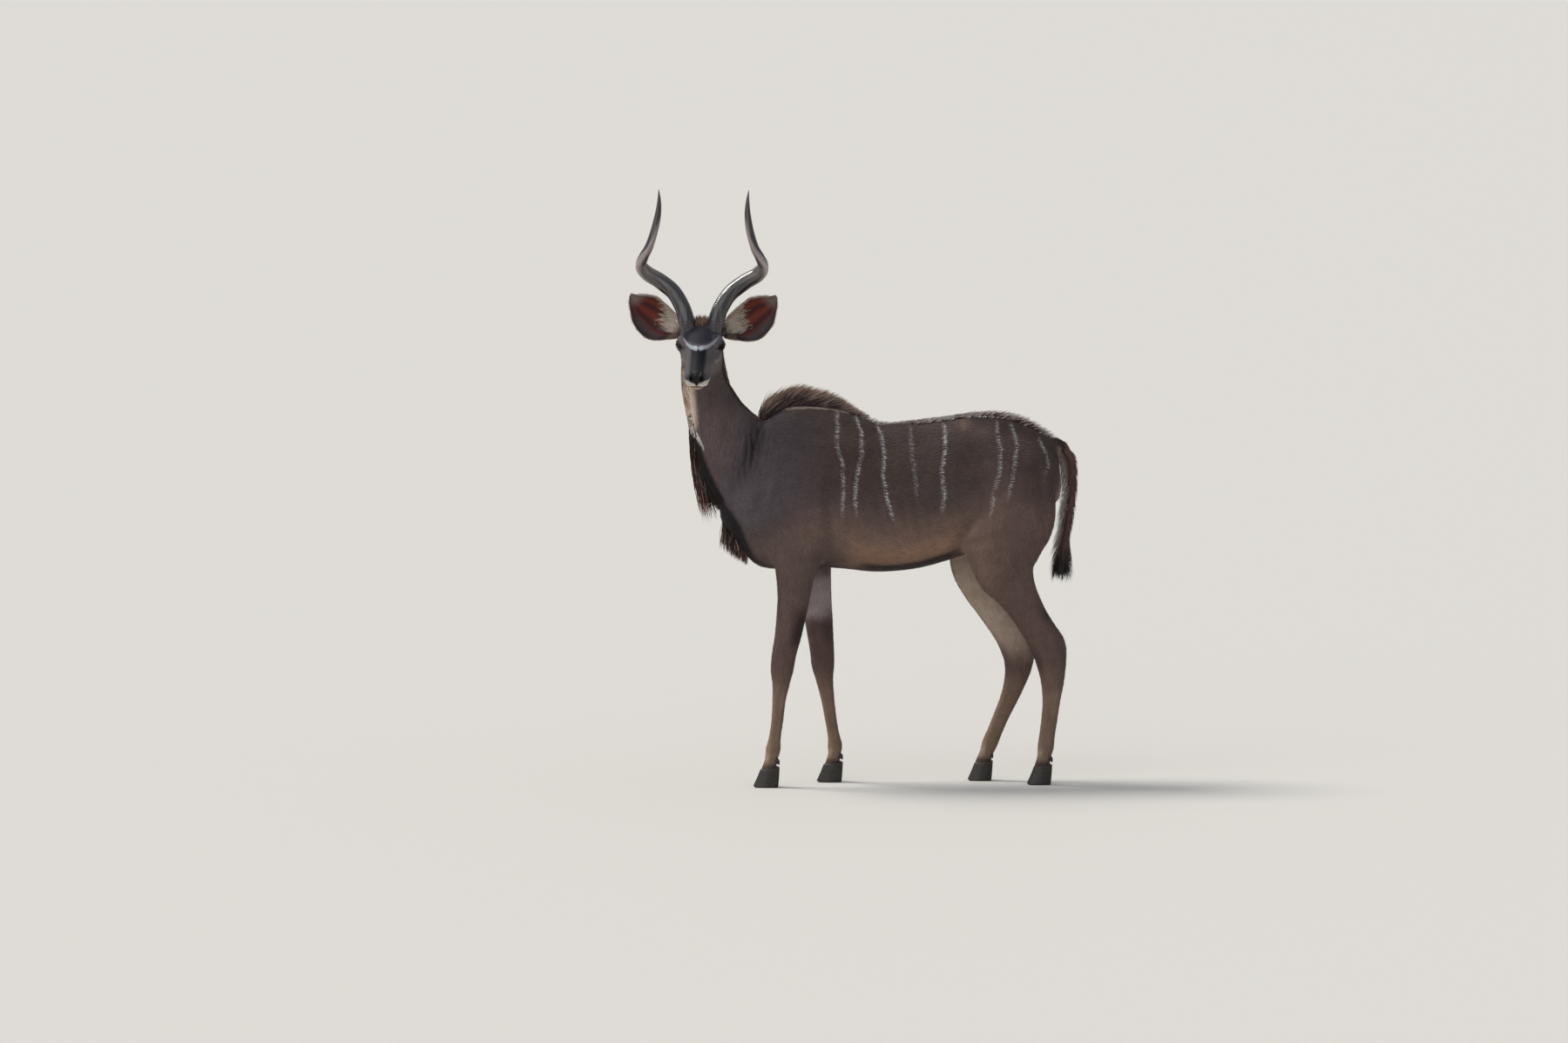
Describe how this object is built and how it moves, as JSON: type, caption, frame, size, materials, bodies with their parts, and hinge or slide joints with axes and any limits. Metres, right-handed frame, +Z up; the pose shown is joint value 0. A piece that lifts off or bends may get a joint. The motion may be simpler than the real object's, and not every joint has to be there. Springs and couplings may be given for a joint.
{
  "type": "greater kudu bull",
  "caption": "Life-size still model of a young greater kudu bull standing with its head turned, spiral horns up.",
  "frame": {"origin": "on the floor under the middle of the whole animal's box", "axes": "+Z up, -X toward the animal's chest, -Y out of its left side"},
  "size_m": [1.648, 0.5314, 2.1888],
  "materials": {
    "coat": "short fur",
    "horn": "polished horn",
    "hoof": "horn",
    "eye": "wet"
  },
  "bodies": {
    "root": {"ear_left": "coat", "ear_right": "coat", "eye_left": "eye", "eye_right": "eye", "foreleg_left": "coat", "foreleg_right": "coat", "head": "coat", "hindleg_left": "coat", "hindleg_right": "coat", "hoof_fore_left_inner": "hoof", "hoof_fore_left_outer": "hoof", "hoof_fore_right_inner": "hoof", "hoof_fore_right_outer": "hoof", "hoof_hind_left_inner": "hoof", "hoof_hind_left_outer": "hoof", "hoof_hind_right_inner": "hoof", "hoof_hind_right_outer": "hoof", "horn_left": "horn", "horn_right": "horn", "neck": "coat", "tail": "coat", "torso": "coat"}
  },
  "joints": []
}
